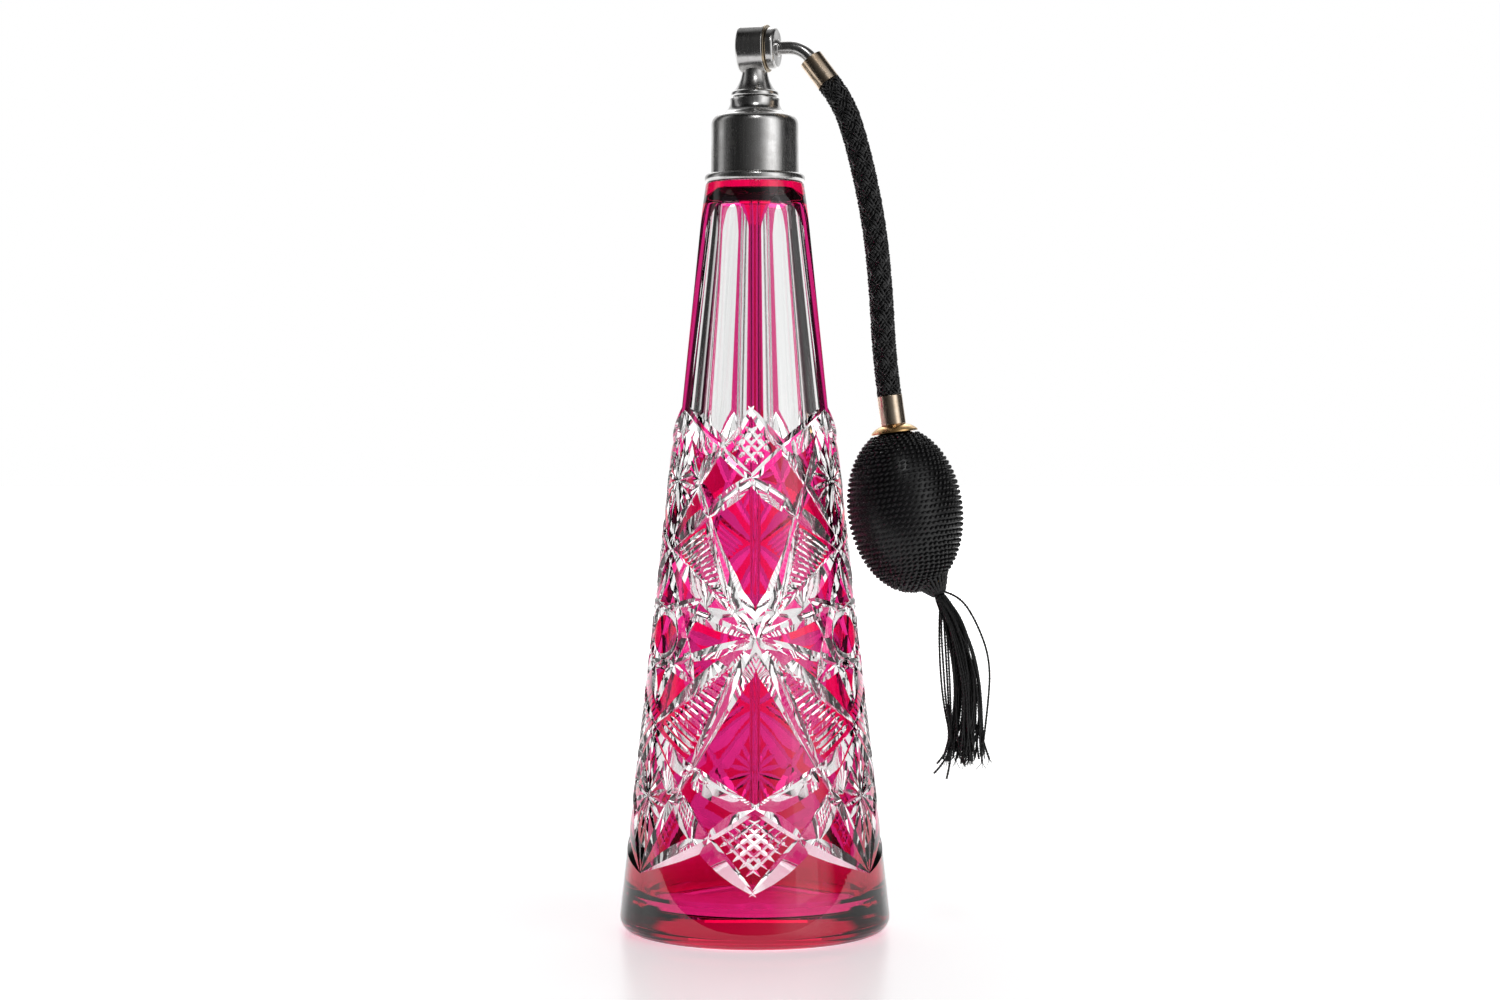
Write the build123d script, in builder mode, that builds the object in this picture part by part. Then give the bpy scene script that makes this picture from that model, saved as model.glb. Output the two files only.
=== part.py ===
from build123d import *
import os
from math import cos, pi, radians, sin, sqrt, tan

# A cut-crystal perfume bottle with a screwed-on spray head, a swivelling elbow and a hose
# to a netted squeeze bulb. Millimetres, +Z up. The origin is the centre of the bottle's base.
# The spray head's barrel lies along X: it sprays towards -X, and the hose leaves towards +X.

os.makedirs("parts", exist_ok=True)

# ---------------------------------------------------------------- driving dimensions

# Bottle: a tall cone of glass
base_radius = 36.95  # where the cone's side would meet the base plane
taper = 0.111  # radius lost per millimetre of height
foot_round = 4.0
glass_top = 201.4  # the shoulder that the neck ring's flange sits on
shoulder_round = 1.2
wall = 4.8
floor_thickness = 7.0
neck_outer_radius = 8.8
neck_bore_radius = 6.6
neck_top = 212.0
bore_bottom = 196.0  # where the neck's bore opens into the inner shoulder
inner_shoulder_z = 187.0

# Six flat panels are ground on the upper part, with a narrow strip of cone between them
motif_angle = -75.0  # direction in which the front motif faces, from +X
panel_count = 6
panel_share = 0.9135  # a panel's distance from the axis, as a share of the cone's radius
panel_reference_z = 135.0
panel_point_z = 133.5  # each panel ends below in a shallow point
panel_side_z = 143.1
panel_top_z = 195.0
panel_half_width = 12.0
panel_cut_depth = 8.0  # more than a panel removes anywhere

# Metal mount on the neck
flange_radius = 13.5
flange_top = 203.9
ring_radius = 10.2  # outside of the neck ring's thread
ring_bore_radius = 9.3
ring_top = 211.6
thread_clearance = 0.05
washer_thickness = 1.2
washer_inset = 0.3  # from the glass bore to the washer's hole

# Stem and swivel cap
stem_flange_radius = 9.8
stem_flange_thickness = 1.8
stem_radius = 4.85
stem_top_radius = 3.0
stem_bore_radius = 2.1
stem_top = 233.0
cap_clearance = 0.05
cap_end_gap = 0.1  # over the neck ring's flange and the stem's flange
cap_skirt_radius = 11.8
cap_shoulder_start = (11.7, 217.4)
cap_shoulder_end = (9.2, 219.9)
cap_neck_top = (6.67, 224.1)
collar_z = 224.5
collar_thickness = 1.7
collar_radius = 6.35

# Spray head
pillar_foot_radius = 5.7
pillar_waist = (4.2, 228.6)
pillar_top = (3.3, 232.6)
head_z = 237.6
barrel_radius = 6.45
barrel_left = -4.1
barrel_right = 3.4
chamber_radius = 4.2
chamber_left = -2.6
jet_radius = 1.7
jet_orifice_radius = 0.3
jet_flare_radius = 0.7
lip_thickness = 0.45
plug_clearance = 0.05
plug_inner_x = 2.1
plug_flange_radius = 5.6
plug_face_x = 6.3
boss_x = 6.9
boss_radius = 2.3
nozzle_bottom = 233.4
nozzle_height = 5.9
nozzle_wall = 0.4
nozzle_spout_radius = 0.9

# Dip tube
dip_tube_radius = 1.5
dip_tube_bore_radius = 0.9
dip_tube_bottom = 12.0
dip_tube_top = 234.6

# Elbow and the ferrule at its end
elbow_tube_radius = 1.8
elbow_bore_radius = 1.1
elbow_start_x = 5.0
elbow_straight_end_x = 9.3
elbow_bend_radius = 7.6
elbow_drop = 53.0  # degrees below the horizontal
upper_ferrule_radius = 3.25
upper_ferrule_length = 8.1
ferrule_gap = 0.3  # from the end of the bend to the ferrule
elbow_engagement = 5.0

# Hose: rubber tube inside a braided sleeve
sleeve_radius = 3.1
tube_radius = 2.5
tube_bore_radius = 1.5
first_run = 5.5  # straight on from the upper ferrule
last_run = 10.0  # straight into the lower ferrule

# Bulb: its centre, tilt from the vertical and half axes
bulb_x = 41.4
bulb_z = 113.7
bulb_tilt = 8.0
cover_half_width = 15.45
cover_half_length = 22.3
cover_thickness = 0.6
rubber_wall = 1.8
bulb_cap_radius = 6.2
bulb_cap_bottom = 20.7
bulb_cap_top = 22.8
lower_ferrule_radius = 3.35
lower_ferrule_top = 30.7
nipple_radius = 1.6
air_bore_radius = 0.8

# Check valves
valve_radius = 3.0
inlet_radius = 2.6
valve_chamber_radius = 1.9
seat_bore_radius = 0.9
ball_radius = 1.5
seat_gap = 0.06
outlet_bottom = 11.0  # heights of the outlet valve along the bulb's axis
outlet_seat_top = 14.0
outlet_chamber_top = 18.4
inlet_outer_end = -1.0  # heights of the inlet valve, inwards from the lower pole
inlet_seat_top = 3.0
inlet_chamber_top = 7.0
inlet_inner_end = 8.0

# Inlet valve and tassel: where the bulb's lower pole is, and which way it points
pole_x = 49.5
pole_z = 93.6
pole_tilt = 28.0
knot_radius = 2.1
knot_distance = 3.3


# ---------------------------------------------------------------- worked-out geometry


def cone_radius(z):
    """Outer radius of the bottle's cone at a height."""
    return base_radius - taper * z


def leaning_plane(x, z, tilt):
    """Section plane y = 0 whose own Y runs up an axis that leans by tilt degrees towards -X."""
    lean = radians(tilt)
    return Plane(origin=(x, 0, z), x_dir=(cos(lean), 0, sin(lean)), z_dir=(0, -1, 0))


def axis_of(section):
    """The axis that a section plane's profile turns about."""
    return Axis(section.origin, section.y_dir)


def ball_height(seat_top):
    """Centre of a ball that rests on the rim of a seat's bore."""
    return seat_top + sqrt(ball_radius**2 - seat_bore_radius**2) + seat_gap


upright = leaning_plane(0, 0, 0)
head_section = Plane(origin=(0, 0, head_z), x_dir=(1, 0, 0), z_dir=(0, -1, 0))
head_axis = Axis((0, 0, head_z), (1, 0, 0))
bulb_section = leaning_plane(bulb_x, bulb_z, bulb_tilt)
bulb_axis = axis_of(bulb_section)
pole_section = leaning_plane(pole_x, pole_z, pole_tilt)
pole_axis = axis_of(pole_section)

washer_top = neck_top + washer_thickness
stem_flange_top = washer_top + stem_flange_thickness
collar_top = collar_z + collar_thickness
cap_bore_radius = ring_radius + thread_clearance
cap_hole_radius = stem_radius + cap_clearance
plug_step_x = barrel_right + lip_thickness + 0.1

drop = radians(elbow_drop)
hose_out = Vector(cos(drop), 0, -sin(drop))
bend_end = Vector(
    elbow_straight_end_x + elbow_bend_radius * sin(drop),
    0,
    head_z - elbow_bend_radius * (1 - cos(drop)),
)
ferrule_start = bend_end + hose_out * ferrule_gap
hose_start = ferrule_start + hose_out * upper_ferrule_length
hose_end = bulb_section.from_local_coords(Vector(0, lower_ferrule_top, 0))
bulb_up = bulb_section.y_dir

# The hose's route: out of the upper ferrule, down in a slow bend, and into the lower ferrule.
hose_route = [
    hose_start,
    hose_start + hose_out * first_run,
    Vector(26.8, 0, 216.2),
    Vector(30.3, 0, 203.0),
    Vector(33.2, 0, 188.0),
    Vector(34.8, 0, 172.0),
    hose_end + bulb_up * last_run,
    hose_end,
]


def arc_radii(route):
    """Radius at each corner: 0.45 of its shorter run over the tangent of half the turn."""
    radii = []
    for before, corner, after in zip(route, route[1:], route[2:]):
        run_in = corner - before
        run_out = after - corner
        half_turn = radians(run_in.get_angle(run_out)) / 2
        radii.append(0.45 * min(run_in.length, run_out.length) / tan(half_turn))
    return radii


hose_radii = arc_radii(hose_route)


def save(part, name):
    """Labels a finished piece and writes it to its own file."""
    part.label = name
    export_step(part, f"parts/{name}.step")


# ---------------------------------------------------------------- bottle body

with BuildPart() as crystal_bottle:
    with BuildSketch(upright):
        with BuildLine():
            FilletPolyline(
                (0, 0),
                (base_radius, 0),
                (cone_radius(glass_top), glass_top),
                (neck_outer_radius, glass_top),
                (neck_outer_radius, neck_top),
                (neck_bore_radius, neck_top),
                (neck_bore_radius, bore_bottom),
                (cone_radius(inner_shoulder_z) - wall, inner_shoulder_z),
                (cone_radius(floor_thickness) - wall, floor_thickness),
                (0, floor_thickness),
                radius=[0, foot_round, shoulder_round, 0, 0, 0, 1.5, 6.0, 6.0, 0],
                close=True,
            )
        make_face()
    revolve(axis=Axis.Z)
    for index in range(panel_count):
        facing = radians(motif_angle + 30 + index * 360 / panel_count)
        distance = cone_radius(panel_reference_z) * panel_share
        panel_plane = Plane(
            origin=(distance * cos(facing), distance * sin(facing), panel_reference_z),
            x_dir=(-sin(facing), cos(facing), 0),
            z_dir=(cos(facing), sin(facing), taper * panel_share),
        )
        with BuildSketch(panel_plane):
            with BuildLine():
                Polyline(
                    (0, panel_point_z - panel_reference_z),
                    (panel_half_width, panel_side_z - panel_reference_z),
                    (panel_half_width, panel_top_z - panel_reference_z),
                    (-panel_half_width, panel_top_z - panel_reference_z),
                    (-panel_half_width, panel_side_z - panel_reference_z),
                    close=True,
                )
            make_face()
        extrude(amount=panel_cut_depth, mode=Mode.SUBTRACT)
save(crystal_bottle.part, "crystal_bottle")

# Plaster that fixes the metal ring to the glass neck
with BuildPart() as neck_cement:
    with BuildSketch(Plane.XY.offset(glass_top)):
        Circle(ring_bore_radius)
        Circle(neck_outer_radius, mode=Mode.SUBTRACT)
    extrude(amount=ring_top - glass_top)
save(neck_cement.part, "neck_cement")

# Metal ring with a rolled flange; its plain barrel stands for the thread
with BuildPart() as neck_ring:
    with BuildSketch(upright):
        with BuildLine():
            FilletPolyline(
                (ring_bore_radius, glass_top),
                (flange_radius, glass_top),
                (flange_radius, flange_top),
                (ring_radius, flange_top),
                (ring_radius, ring_top),
                (ring_bore_radius, ring_top),
                radius=[0, 1.1, 1.1, 0, 0.3, 0],
                close=True,
            )
        make_face()
    revolve(axis=Axis.Z)
save(neck_ring.part, "neck_ring")

with BuildPart() as sealing_washer:
    with BuildSketch(Plane.XY.offset(neck_top)):
        Circle(stem_flange_radius)
        Circle(neck_bore_radius + washer_inset, mode=Mode.SUBTRACT)
    extrude(amount=washer_thickness)
save(sealing_washer.part, "sealing_washer")

# ---------------------------------------------------------------- spray head

# Flanged stem: the cap's inner shoulder presses its flange onto the washer
with BuildPart() as stem:
    with BuildSketch(upright):
        with BuildLine():
            Polyline(
                (stem_bore_radius, washer_top),
                (stem_flange_radius, washer_top),
                (stem_flange_radius, stem_flange_top),
                (stem_radius, stem_flange_top),
                (stem_radius, collar_z),
                (stem_top_radius, collar_z),
                (stem_top_radius, stem_top),
                (stem_bore_radius, stem_top),
                close=True,
            )
        make_face()
    revolve(axis=Axis.Z)
save(stem.part, "stem")

with BuildPart() as collar_ring:
    with BuildSketch(upright):
        with BuildLine():
            FilletPolyline(
                (stem_top_radius, collar_z),
                (collar_radius, collar_z),
                (collar_radius, collar_top),
                (stem_top_radius, collar_top),
                radius=[0, 0.7, 0.7, 0],
                close=True,
            )
        make_face()
    revolve(axis=Axis.Z)
save(collar_ring.part, "collar_ring")

# Waisted pillar between the collar and the barrel, saddled to the barrel's underside
with BuildPart() as head_pillar:
    with BuildSketch(upright):
        with BuildLine():
            Line((stem_top_radius, collar_top), (pillar_foot_radius, collar_top))
            ThreePointArc((pillar_foot_radius, collar_top), pillar_waist, pillar_top)
            Line(pillar_top, (stem_top_radius, pillar_top[1]))
            Line((stem_top_radius, pillar_top[1]), (stem_top_radius, collar_top))
        make_face()
    revolve(axis=Axis.Z)
    with BuildSketch(Plane.YZ):
        with Locations((0, head_z)):
            Circle(barrel_radius)
    extrude(amount=2 * pillar_foot_radius, both=True, mode=Mode.SUBTRACT)
save(head_pillar.part, "head_pillar")

with BuildPart() as spray_barrel:
    with BuildSketch(head_section):
        with BuildLine():
            FilletPolyline(
                (barrel_left, jet_radius),
                (barrel_left + 0.2, barrel_radius),
                (barrel_right, barrel_radius),
                (barrel_right, chamber_radius),
                (chamber_left, chamber_radius),
                (chamber_left, jet_radius),
                radius=[0, 0.6, 0.3, 0, 0, 0],
                close=True,
            )
        make_face()
    revolve(axis=head_axis)
    with BuildSketch(Plane.XY.offset(head_z - barrel_radius - 1)):
        Circle(stem_top_radius)
    extrude(amount=barrel_radius, mode=Mode.SUBTRACT)
save(spray_barrel.part, "spray_barrel")

# Jet: a small screwed-in plug with a fine, flared orifice
with BuildPart() as jet_insert:
    with BuildSketch(head_section):
        with BuildLine():
            Polyline(
                (barrel_left - 0.3, jet_flare_radius),
                (barrel_left - 0.3, jet_radius - 0.3),
                (barrel_left, jet_radius),
                (chamber_left, jet_radius),
                (chamber_left, jet_orifice_radius),
                (barrel_left + 0.5, jet_orifice_radius),
                close=True,
            )
        make_face()
    revolve(axis=head_axis)
save(jet_insert.part, "jet_insert")

# Feed nozzle: takes the dip tube from below and leads the perfume to the jet
with BuildPart() as feed_nozzle:
    with BuildSketch(Plane.XY.offset(nozzle_bottom)):
        Circle(dip_tube_radius + nozzle_wall)
    extrude(amount=nozzle_height)
    with BuildSketch(Plane.YZ.offset(chamber_left + 0.3)):
        with Locations((0, head_z)):
            Circle(nozzle_spout_radius)
    extrude(amount=-chamber_left - 0.3)
    with BuildSketch(Plane.XY.offset(nozzle_bottom)):
        Circle(dip_tube_radius)
    extrude(amount=dip_tube_top - nozzle_bottom, mode=Mode.SUBTRACT)
    with BuildSketch(Plane.XY.offset(nozzle_bottom)):
        Circle(0.5)
    extrude(amount=head_z - nozzle_bottom, mode=Mode.SUBTRACT)
    with BuildSketch(Plane.YZ.offset(chamber_left)):
        with Locations((0, head_z)):
            Circle(jet_orifice_radius)
    extrude(amount=-chamber_left, mode=Mode.SUBTRACT)
save(feed_nozzle.part, "feed_nozzle")

with BuildPart() as dip_tube:
    with BuildSketch(Plane.XY.offset(dip_tube_bottom)):
        Circle(dip_tube_radius)
        Circle(dip_tube_bore_radius, mode=Mode.SUBTRACT)
    extrude(amount=dip_tube_top - dip_tube_bottom)
save(dip_tube.part, "dip_tube")

# Thin bright ring on the barrel's open end
with BuildPart() as lip_ring:
    with BuildSketch(head_section):
        with BuildLine():
            FilletPolyline(
                (barrel_right, chamber_radius + 0.1),
                (barrel_right, barrel_radius - 0.1),
                (barrel_right + lip_thickness, barrel_radius - 0.1),
                (barrel_right + lip_thickness, chamber_radius + 0.1),
                radius=[0, 0, 0.2, 0],
                close=True,
            )
        make_face()
    revolve(axis=head_axis)
save(lip_ring.part, "lip_ring")

# Bell-shaped cap: turns on the stem and screws down over the neck ring
with BuildPart() as screw_cap:
    with BuildSketch(upright):
        with BuildLine():
            Polyline(
                (cap_hole_radius, cap_neck_top[1]),
                (cap_hole_radius, stem_flange_top + cap_end_gap),
                (cap_bore_radius, stem_flange_top + cap_end_gap),
                (cap_bore_radius, flange_top + cap_end_gap),
                (cap_skirt_radius, flange_top + cap_end_gap),
                cap_shoulder_start,
            )
            ThreePointArc(cap_shoulder_start, (11.0, 219.0), cap_shoulder_end)
            ThreePointArc(cap_shoulder_end, (7.2, 221.4), cap_neck_top)
            Line(cap_neck_top, (cap_hole_radius, cap_neck_top[1]))
        make_face()
    revolve(axis=Axis.Z)
save(screw_cap.part, "screw_cap")

# ---------------------------------------------------------------- elbow and hose

# Plug that swivels in the barrel's chamber and carries the elbow
with BuildPart() as swivel_plug:
    with BuildSketch(head_section):
        with BuildLine():
            FilletPolyline(
                (plug_inner_x, elbow_bore_radius),
                (plug_inner_x, chamber_radius - plug_clearance),
                (plug_step_x, chamber_radius - plug_clearance),
                (plug_step_x, plug_flange_radius),
                (plug_face_x, plug_flange_radius),
                (plug_face_x, boss_radius),
                (boss_x, boss_radius),
                (boss_x, elbow_tube_radius),
                (elbow_start_x, elbow_tube_radius),
                (elbow_start_x, elbow_bore_radius),
                radius=[0, 0, 0, 0.3, 0.9, 0, 0.3, 0, 0, 0],
                close=True,
            )
        make_face()
    revolve(axis=head_axis)
save(swivel_plug.part, "swivel_plug")

with BuildPart() as elbow_tube:
    with BuildLine() as elbow_path:
        Line((elbow_start_x, 0, head_z), (elbow_straight_end_x, 0, head_z))
        bend_centre = Vector(elbow_straight_end_x, 0, head_z - elbow_bend_radius)
        bend_middle = Vector(
            elbow_bend_radius * sin(drop / 2), 0, elbow_bend_radius * cos(drop / 2)
        )
        ThreePointArc(
            (elbow_straight_end_x, 0, head_z), bend_centre + bend_middle, bend_end
        )
        Line(bend_end, ferrule_start + hose_out * elbow_engagement)
    with BuildSketch(Plane.YZ.offset(elbow_start_x)):
        with Locations((0, head_z)):
            Circle(elbow_tube_radius)
            Circle(elbow_bore_radius, mode=Mode.SUBTRACT)
    sweep(path=elbow_path.line)
save(elbow_tube.part, "elbow_tube")

with BuildPart() as upper_ferrule:
    with BuildSketch(Plane(origin=ferrule_start, x_dir=(0, 1, 0), z_dir=hose_out)):
        Circle(upper_ferrule_radius)
        Circle(elbow_tube_radius, mode=Mode.SUBTRACT)
    extrude(amount=upper_ferrule_length)
save(upper_ferrule.part, "upper_ferrule")


def swept_ring(outer, inner):
    """A round tube of the two radii along the hose's route."""
    with BuildPart() as ring:
        with BuildLine() as route_line:
            FilletPolyline(*hose_route, radius=hose_radii)
        with BuildSketch(Plane(origin=hose_start, x_dir=(0, 1, 0), z_dir=hose_out)):
            Circle(outer)
            Circle(inner, mode=Mode.SUBTRACT)
        sweep(path=route_line.line)
    length = route_line.wire().length
    expected = pi * (outer**2 - inner**2) * length
    print("tube", outer, "volume", round(ring.part.volume), "expected", round(expected))
    print("hose length", round(length, 1))
    return ring.part


print("hose radii", [round(radius, 1) for radius in hose_radii])
save(swept_ring(tube_radius, tube_bore_radius), "rubber_tube")
save(swept_ring(sleeve_radius, tube_radius), "braided_sleeve")

# ---------------------------------------------------------------- bulb

with BuildPart() as lower_ferrule:
    with BuildSketch(bulb_section):
        with BuildLine():
            FilletPolyline(
                (nipple_radius, bulb_cap_top),
                (lower_ferrule_radius, bulb_cap_top),
                (lower_ferrule_radius, lower_ferrule_top),
                (nipple_radius, lower_ferrule_top),
                radius=[0, 0.2, 0.2, 0],
                close=True,
            )
        make_face()
    revolve(axis=bulb_axis)
save(lower_ferrule.part, "lower_ferrule")

# Shallow domed cap that covers the hole in the net
with BuildPart() as bulb_cap:
    with BuildSketch(bulb_section):
        with BuildLine():
            Polyline(
                (nipple_radius, bulb_cap_top),
                (nipple_radius, bulb_cap_bottom),
                (bulb_cap_radius, bulb_cap_bottom),
                (bulb_cap_radius, bulb_cap_bottom + 0.4),
            )
            ThreePointArc(
                (bulb_cap_radius, bulb_cap_bottom + 0.4),
                (5.1, bulb_cap_bottom + 1.35),
                (3.3, bulb_cap_top),
            )
            Line((3.3, bulb_cap_top), (nipple_radius, bulb_cap_top))
        make_face()
    revolve(axis=bulb_axis)
save(bulb_cap.part, "bulb_cap")

with BuildPart() as outlet_valve_body:
    with BuildSketch(bulb_section):
        with BuildLine():
            Polyline(
                (valve_chamber_radius, outlet_bottom),
                (valve_radius, outlet_bottom),
                (valve_radius, bulb_cap_bottom),
                (nipple_radius, bulb_cap_bottom),
                (nipple_radius, lower_ferrule_top),
                (air_bore_radius, lower_ferrule_top),
                (air_bore_radius, outlet_chamber_top),
                (valve_chamber_radius, outlet_chamber_top),
                close=True,
            )
        make_face()
    revolve(axis=bulb_axis)
save(outlet_valve_body.part, "outlet_valve_body")

with BuildPart() as outlet_valve_seat:
    with BuildSketch(bulb_section):
        with Locations((seat_bore_radius, outlet_bottom)):
            Rectangle(
                valve_chamber_radius - seat_bore_radius,
                outlet_seat_top - outlet_bottom,
                align=Align.MIN,
            )
    revolve(axis=bulb_axis)
save(outlet_valve_seat.part, "outlet_valve_seat")

outlet_ball_centre = Vector(0, ball_height(outlet_seat_top), 0)
with BuildPart(Plane(origin=bulb_section.from_local_coords(outlet_ball_centre))) as outlet_ball:
    Sphere(ball_radius)
save(outlet_ball.part, "outlet_ball")

with BuildPart() as inlet_valve_body:
    with BuildSketch(pole_section):
        with BuildLine():
            Polyline(
                (seat_bore_radius, inlet_outer_end),
                (inlet_radius, inlet_outer_end),
                (inlet_radius, inlet_inner_end),
                (valve_chamber_radius, inlet_inner_end),
                (valve_chamber_radius, inlet_seat_top),
                (seat_bore_radius, inlet_seat_top),
                close=True,
            )
        make_face()
    revolve(axis=pole_axis)
save(inlet_valve_body.part, "inlet_valve_body")

with BuildPart() as inlet_valve_cage:
    with BuildSketch(pole_section):
        with Locations((air_bore_radius, inlet_chamber_top)):
            Rectangle(
                valve_chamber_radius - air_bore_radius,
                inlet_inner_end - inlet_chamber_top,
                align=Align.MIN,
            )
    revolve(axis=pole_axis)
save(inlet_valve_cage.part, "inlet_valve_cage")

inlet_ball_centre = Vector(0, ball_height(inlet_seat_top), 0)
with BuildPart(Plane(origin=pole_section.from_local_coords(inlet_ball_centre))) as inlet_ball:
    Sphere(ball_radius)
save(inlet_ball.part, "inlet_ball")


def shell_of_bulb(half_width, half_length, thickness):
    """An egg-shaped shell about the bulb's axis, open where the two valves pass."""
    with BuildPart() as shell:
        for shrink, mode in ((0, Mode.ADD), (thickness, Mode.SUBTRACT)):
            with BuildSketch(bulb_section):
                Ellipse(half_width - shrink, half_length - shrink)
                with Locations((-half_width, 0)):
                    Rectangle(2 * half_width, 2 * half_length + 2, mode=Mode.SUBTRACT)
            revolve(axis=bulb_axis, mode=mode)
        with BuildSketch(bulb_section):
            with Locations((0, bulb_cap_bottom)):
                Rectangle(bulb_cap_radius, lower_ferrule_top - bulb_cap_bottom, align=Align.MIN)
            with Locations((0, outlet_bottom)):
                Rectangle(valve_radius, lower_ferrule_top - outlet_bottom, align=Align.MIN)
        revolve(axis=bulb_axis, mode=Mode.SUBTRACT)
        with BuildSketch(pole_section):
            with Locations((0, inlet_outer_end - knot_distance)):
                Rectangle(inlet_radius, inlet_inner_end + knot_distance, align=Align.MIN)
        revolve(axis=pole_axis, mode=Mode.SUBTRACT)
    return shell.part


save(
    shell_of_bulb(
        cover_half_width - cover_thickness,
        cover_half_length - cover_thickness,
        rubber_wall,
    ),
    "rubber_bulb",
)
save(
    shell_of_bulb(cover_half_width, cover_half_length, cover_thickness),
    "crochet_cover",
)

# ---------------------------------------------------------------- tassel

knot_centre = pole_section.from_local_coords(Vector(0, -knot_distance, 0))
with BuildPart(Plane(origin=knot_centre)) as tassel_knot:
    Sphere(knot_radius)
save(tassel_knot.part, "tassel_knot")

# Soft bunch of hanging threads: centre points and radii from the knot to the frayed ends
bunch = [
    (knot_centre, 1.5),
    (Vector(54.6, 0, 80.0), 3.3),
    (Vector(57.0, 0, 63.5), 4.2),
    (Vector(56.2, 0, 45.5), 5.4),
]
with BuildPart() as tassel_threads:
    for index, (centre, radius) in enumerate(bunch):
        before = bunch[max(index - 1, 0)][0]
        after = bunch[min(index + 1, len(bunch) - 1)][0]
        with BuildSketch(Plane(origin=centre, x_dir=(0, 1, 0), z_dir=before - after)):
            Circle(radius)
    loft()
    with Locations(knot_centre):
        Sphere(knot_radius, mode=Mode.SUBTRACT)
save(tassel_threads.part, "tassel_threads")
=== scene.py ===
import math
import random

import bmesh
import bpy
import numpy as np
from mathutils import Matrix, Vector


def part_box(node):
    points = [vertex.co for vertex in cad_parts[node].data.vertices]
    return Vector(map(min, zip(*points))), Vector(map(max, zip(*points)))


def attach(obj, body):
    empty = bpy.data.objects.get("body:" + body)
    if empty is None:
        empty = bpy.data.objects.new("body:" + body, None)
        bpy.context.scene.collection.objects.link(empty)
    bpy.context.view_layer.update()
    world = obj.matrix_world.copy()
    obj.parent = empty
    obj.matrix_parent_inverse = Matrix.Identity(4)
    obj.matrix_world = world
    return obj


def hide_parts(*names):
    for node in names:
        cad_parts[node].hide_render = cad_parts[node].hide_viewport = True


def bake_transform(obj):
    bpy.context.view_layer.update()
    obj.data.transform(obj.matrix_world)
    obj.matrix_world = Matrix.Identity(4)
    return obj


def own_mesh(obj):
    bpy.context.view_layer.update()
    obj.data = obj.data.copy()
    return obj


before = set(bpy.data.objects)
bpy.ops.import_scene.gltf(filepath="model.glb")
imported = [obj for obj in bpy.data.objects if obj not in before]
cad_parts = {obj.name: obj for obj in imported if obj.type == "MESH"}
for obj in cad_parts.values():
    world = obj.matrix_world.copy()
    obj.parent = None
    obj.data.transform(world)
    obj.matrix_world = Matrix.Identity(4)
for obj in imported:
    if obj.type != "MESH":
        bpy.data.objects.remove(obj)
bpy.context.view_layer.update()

MM = 0.001
UP = Vector((0, 0, 1))

# ------------------------------------------------------------------ places, from the frame

GLASS_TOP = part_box("neck_ring")[0].z
NECK_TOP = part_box("crystal_bottle")[1].z

# The bottle's cone, as in the CAD model: radius lost per height, and the radius at the base
TAPER = 0.111
BASE_RADIUS = 36.95 * MM

# The bulb's frame: centre, tilt and half axes
BULB_CENTRE = Vector((41.4, 0, 113.7)) * MM
BULB_TILT = math.radians(8)
BULB_UP = Vector((-math.sin(BULB_TILT), 0, math.cos(BULB_TILT)))
BULB_OUT = Vector((math.cos(BULB_TILT), 0, math.sin(BULB_TILT)))
BULB_HALF_WIDTH = 15.45 * MM
BULB_HALF_LENGTH = 22.3 * MM

# The lower pole, where the inlet valve and the tassel are
POLE_TILT = math.radians(28)
POLE = Vector((49.5, 0, 93.6)) * MM
POLE_OUT = Vector((math.sin(POLE_TILT), 0, -math.cos(POLE_TILT)))
KNOT = POLE + POLE_OUT * 3.3 * MM

# The camera looks at the bottle's front motif from this side
VIEW_AZIMUTH = 15.0
MOTIF_ANGLE = -75.0


# ------------------------------------------------------------------ camera

def make_camera():
    """Eye at half the bottle's height, three object heights away."""
    distance = 0.756
    height = 0.1296
    pitch_down = 1.02
    yaw_left = 0.1
    turn = math.radians(VIEW_AZIMUTH)
    data = bpy.data.cameras.new("camera")
    data.sensor_width = 36
    data.lens = 67.2
    data.clip_start = 0.01
    data.clip_end = 50
    camera = bpy.data.objects.new("camera", data)
    camera.location = (distance * math.sin(turn), -distance * math.cos(turn), height)
    camera.rotation_euler = (
        math.radians(90 - pitch_down),
        0,
        math.radians(VIEW_AZIMUTH + yaw_left),
    )
    bpy.context.scene.collection.objects.link(camera)
    bpy.context.scene.camera = camera


make_camera()


# ------------------------------------------------------------------ mesh helpers

def link(obj):
    bpy.context.scene.collection.objects.link(obj)
    return obj


def mesh_object(name, verts, faces, materials=(), smooth=True, sharp_angle=None, slots=None):
    """A mesh object from vertex and face lists, with slots a material index for each face."""
    mesh = bpy.data.meshes.new(name)
    mesh.from_pydata([tuple(v) for v in verts], [], [tuple(f) for f in faces])
    mesh.update()
    for material in materials:
        mesh.materials.append(material)
    if slots is not None:
        mesh.polygons.foreach_set("material_index", np.asarray(slots, np.int32))
    mesh.polygons.foreach_set("use_smooth", [smooth] * len(mesh.polygons))
    if sharp_angle is not None:
        mesh.set_sharp_from_angle(angle=math.radians(sharp_angle))
    return link(bpy.data.objects.new(name, mesh))


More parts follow.
